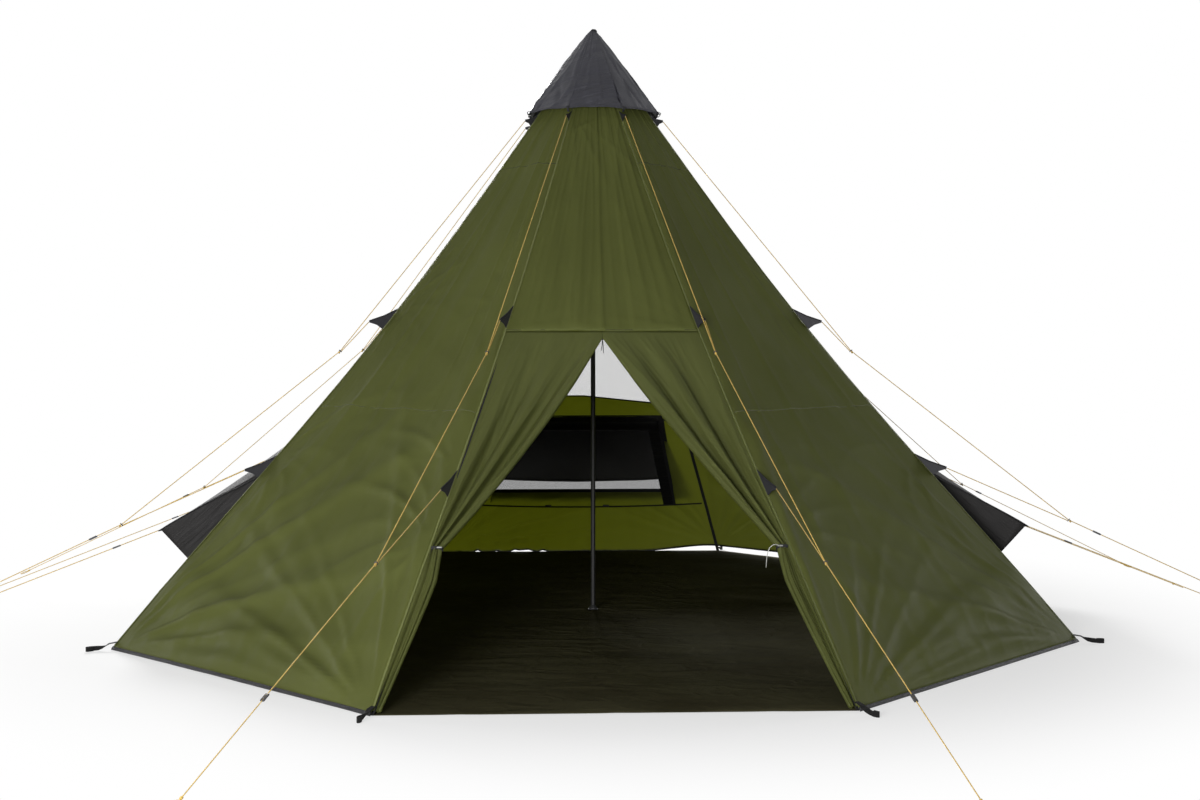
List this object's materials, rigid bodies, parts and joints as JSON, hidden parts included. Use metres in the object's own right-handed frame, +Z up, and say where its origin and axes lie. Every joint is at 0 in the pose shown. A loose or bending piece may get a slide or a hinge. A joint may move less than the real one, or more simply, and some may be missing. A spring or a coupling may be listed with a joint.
{
  "type": "pyramid tent",
  "caption": "Eight-sided pyramid tent on a centre pole, with a tied-back door, hooded mesh windows, a rain cap, a groundsheet and guy ropes.",
  "frame": {"origin": "on the ground, under the centre pole, at the middle of the groundsheet's underside", "axes": "+Z up along the pole, -Y out through the middle of the door, +X to the right of someone who looks in at the door"},
  "size_m": [6.9986, 6.0403, 3.125],
  "materials": {
    "olive_fabric": "satin",
    "charcoal_fabric": "satin",
    "hood_fabric": "satin",
    "dark_mesh": "matte",
    "pale_mesh": "matte",
    "black_webbing": "matte",
    "hem_tape": "matte",
    "ground_fabric": "satin",
    "tan_rope": "matte",
    "black_steel": "satin",
    "black_plastic": "satin"
  },
  "bodies": {
    "tent": {"wall_front_left": "olive_fabric", "wall_left": "olive_fabric", "wall_rear_left": "olive_fabric", "wall_rear": "olive_fabric", "wall_rear_right": "olive_fabric", "wall_right": "olive_fabric", "wall_front_right": "olive_fabric", "header_panel": "olive_fabric", "corner_webbing_front_left": "black_webbing", "corner_webbing_side_left": "black_webbing", "corner_webbing_rear_side_left": "black_webbing", "corner_webbing_rear_left": "black_webbing", "corner_webbing_rear_right": "black_webbing", "corner_webbing_rear_side_right": "black_webbing", "corner_webbing_side_right": "black_webbing", "corner_webbing_front_right": "black_webbing", "window_mesh_left": "dark_mesh", "window_mesh_right": "dark_mesh", "window_mesh_rear": "dark_mesh", "rear_vent_mesh": "pale_mesh", "peak_vent_mesh": "dark_mesh", "peak_crown": "black_webbing", "cap": "charcoal_fabric", "hem_band": "hem_tape", "groundsheet": "ground_fabric", "pole_foot": "black_plastic", "pole_lower": "black_steel", "pole_middle": "black_steel", "pole_upper": "black_steel", "pole_tip": "black_plastic", "hood_gusset_left_a": "hood_fabric", "hood_gusset_left_b": "hood_fabric", "hood_gusset_right_a": "hood_fabric", "hood_gusset_right_b": "hood_fabric", "hood_gusset_rear_a": "hood_fabric", "hood_gusset_rear_b": "hood_fabric", "guy_rope_front_left": "tan_rope", "guy_rope_front_right": "tan_rope", "guy_rope_side_left": "tan_rope", "guy_rope_side_right": "tan_rope", "guy_rope_rear_side_left": "tan_rope", "guy_rope_rear_side_right": "tan_rope", "hood_rope_left_a": "tan_rope", "hood_rope_left_b": "tan_rope", "hood_rope_right_a": "tan_rope", "hood_rope_right_b": "tan_rope"},
    "door_left": {"door_flap_left": "olive_fabric", "door_tie_left": "black_webbing"},
    "door_right": {"door_flap_right": "olive_fabric", "door_tie_right": "black_webbing"},
    "zip_pull": {"zip_pull": "black_plastic"},
    "hood_left": {"hood_left": "hood_fabric"},
    "hood_right": {"hood_right": "hood_fabric"},
    "hood_rear": {"hood_rear": "hood_fabric"},
    "tensioner_front_left": {"tensioner_front_left": "black_plastic"},
    "tensioner_front_right": {"tensioner_front_right": "black_plastic"},
    "tensioner_side_left": {"tensioner_side_left": "black_plastic"},
    "tensioner_side_right": {"tensioner_side_right": "black_plastic"},
    "tensioner_rear_side_left": {"tensioner_rear_side_left": "black_plastic"},
    "tensioner_rear_side_right": {"tensioner_rear_side_right": "black_plastic"}
  },
  "joints": [
    {"name": "door_left_swing", "type": "hinge", "parent": "tent", "child": "door_left", "pos_m": [-0.87079, -2.10567, 0.25583], "axis": [-0.2528, -0.6104, -0.7507], "range_deg": [0, 80]},
    {"name": "door_right_swing", "type": "hinge", "parent": "tent", "child": "door_right", "pos_m": [0.87079, -2.10567, 0.25583], "axis": [-0.2528, 0.6104, 0.7507], "range_deg": [0, 80]},
    {"name": "zip_pull_swing", "type": "hinge", "parent": "tent", "child": "zip_pull", "pos_m": [0, -1.09288, 1.4994], "axis": [1, 0, 0], "range_deg": [-50, 50]},
    {"name": "hood_left_tilt", "type": "hinge", "parent": "tent", "child": "hood_left", "pos_m": [-1.50943, 0, 0.975], "axis": [0, -1, 0], "range_deg": [0, 13], "deforming": ["hood_gusset_left_a", "hood_gusset_left_b"]},
    {"name": "hood_right_tilt", "type": "hinge", "parent": "tent", "child": "hood_right", "pos_m": [1.50943, 0, 0.975], "axis": [0, 1, 0], "range_deg": [0, 13], "deforming": ["hood_gusset_right_a", "hood_gusset_right_b"]},
    {"name": "hood_rear_tilt", "type": "hinge", "parent": "tent", "child": "hood_rear", "pos_m": [0, 1.50943, 0.975], "axis": [-1, 0, 0], "range_deg": [0, 13], "deforming": ["hood_gusset_rear_a", "hood_gusset_rear_b"]},
    {"name": "tensioner_front_left_slide", "type": "slide", "parent": "tent", "child": "tensioner_front_left", "axis": [0.3505, 0.8461, 0.4015], "range_m": [-0.45, 0.74]},
    {"name": "tensioner_front_right_slide", "type": "slide", "parent": "tent", "child": "tensioner_front_right", "axis": [-0.1757, 0.8999, 0.3992], "range_m": [-0.45, 0.74]},
    {"name": "tensioner_side_left_slide", "type": "slide", "parent": "tent", "child": "tensioner_side_left", "axis": [0.8461, 0.3505, 0.4015], "range_m": [-1.1, 0.09]},
    {"name": "tensioner_side_right_slide", "type": "slide", "parent": "tent", "child": "tensioner_side_right", "axis": [-0.8461, 0.3505, 0.4015], "range_m": [-1.1, 0.09]},
    {"name": "tensioner_rear_side_left_slide", "type": "slide", "parent": "tent", "child": "tensioner_rear_side_left", "axis": [0.8461, -0.3505, 0.4015], "range_m": [-1.1, 0.09]},
    {"name": "tensioner_rear_side_right_slide", "type": "slide", "parent": "tent", "child": "tensioner_rear_side_right", "axis": [-0.8461, -0.3505, 0.4015], "range_m": [-1.1, 0.09]}
  ]
}
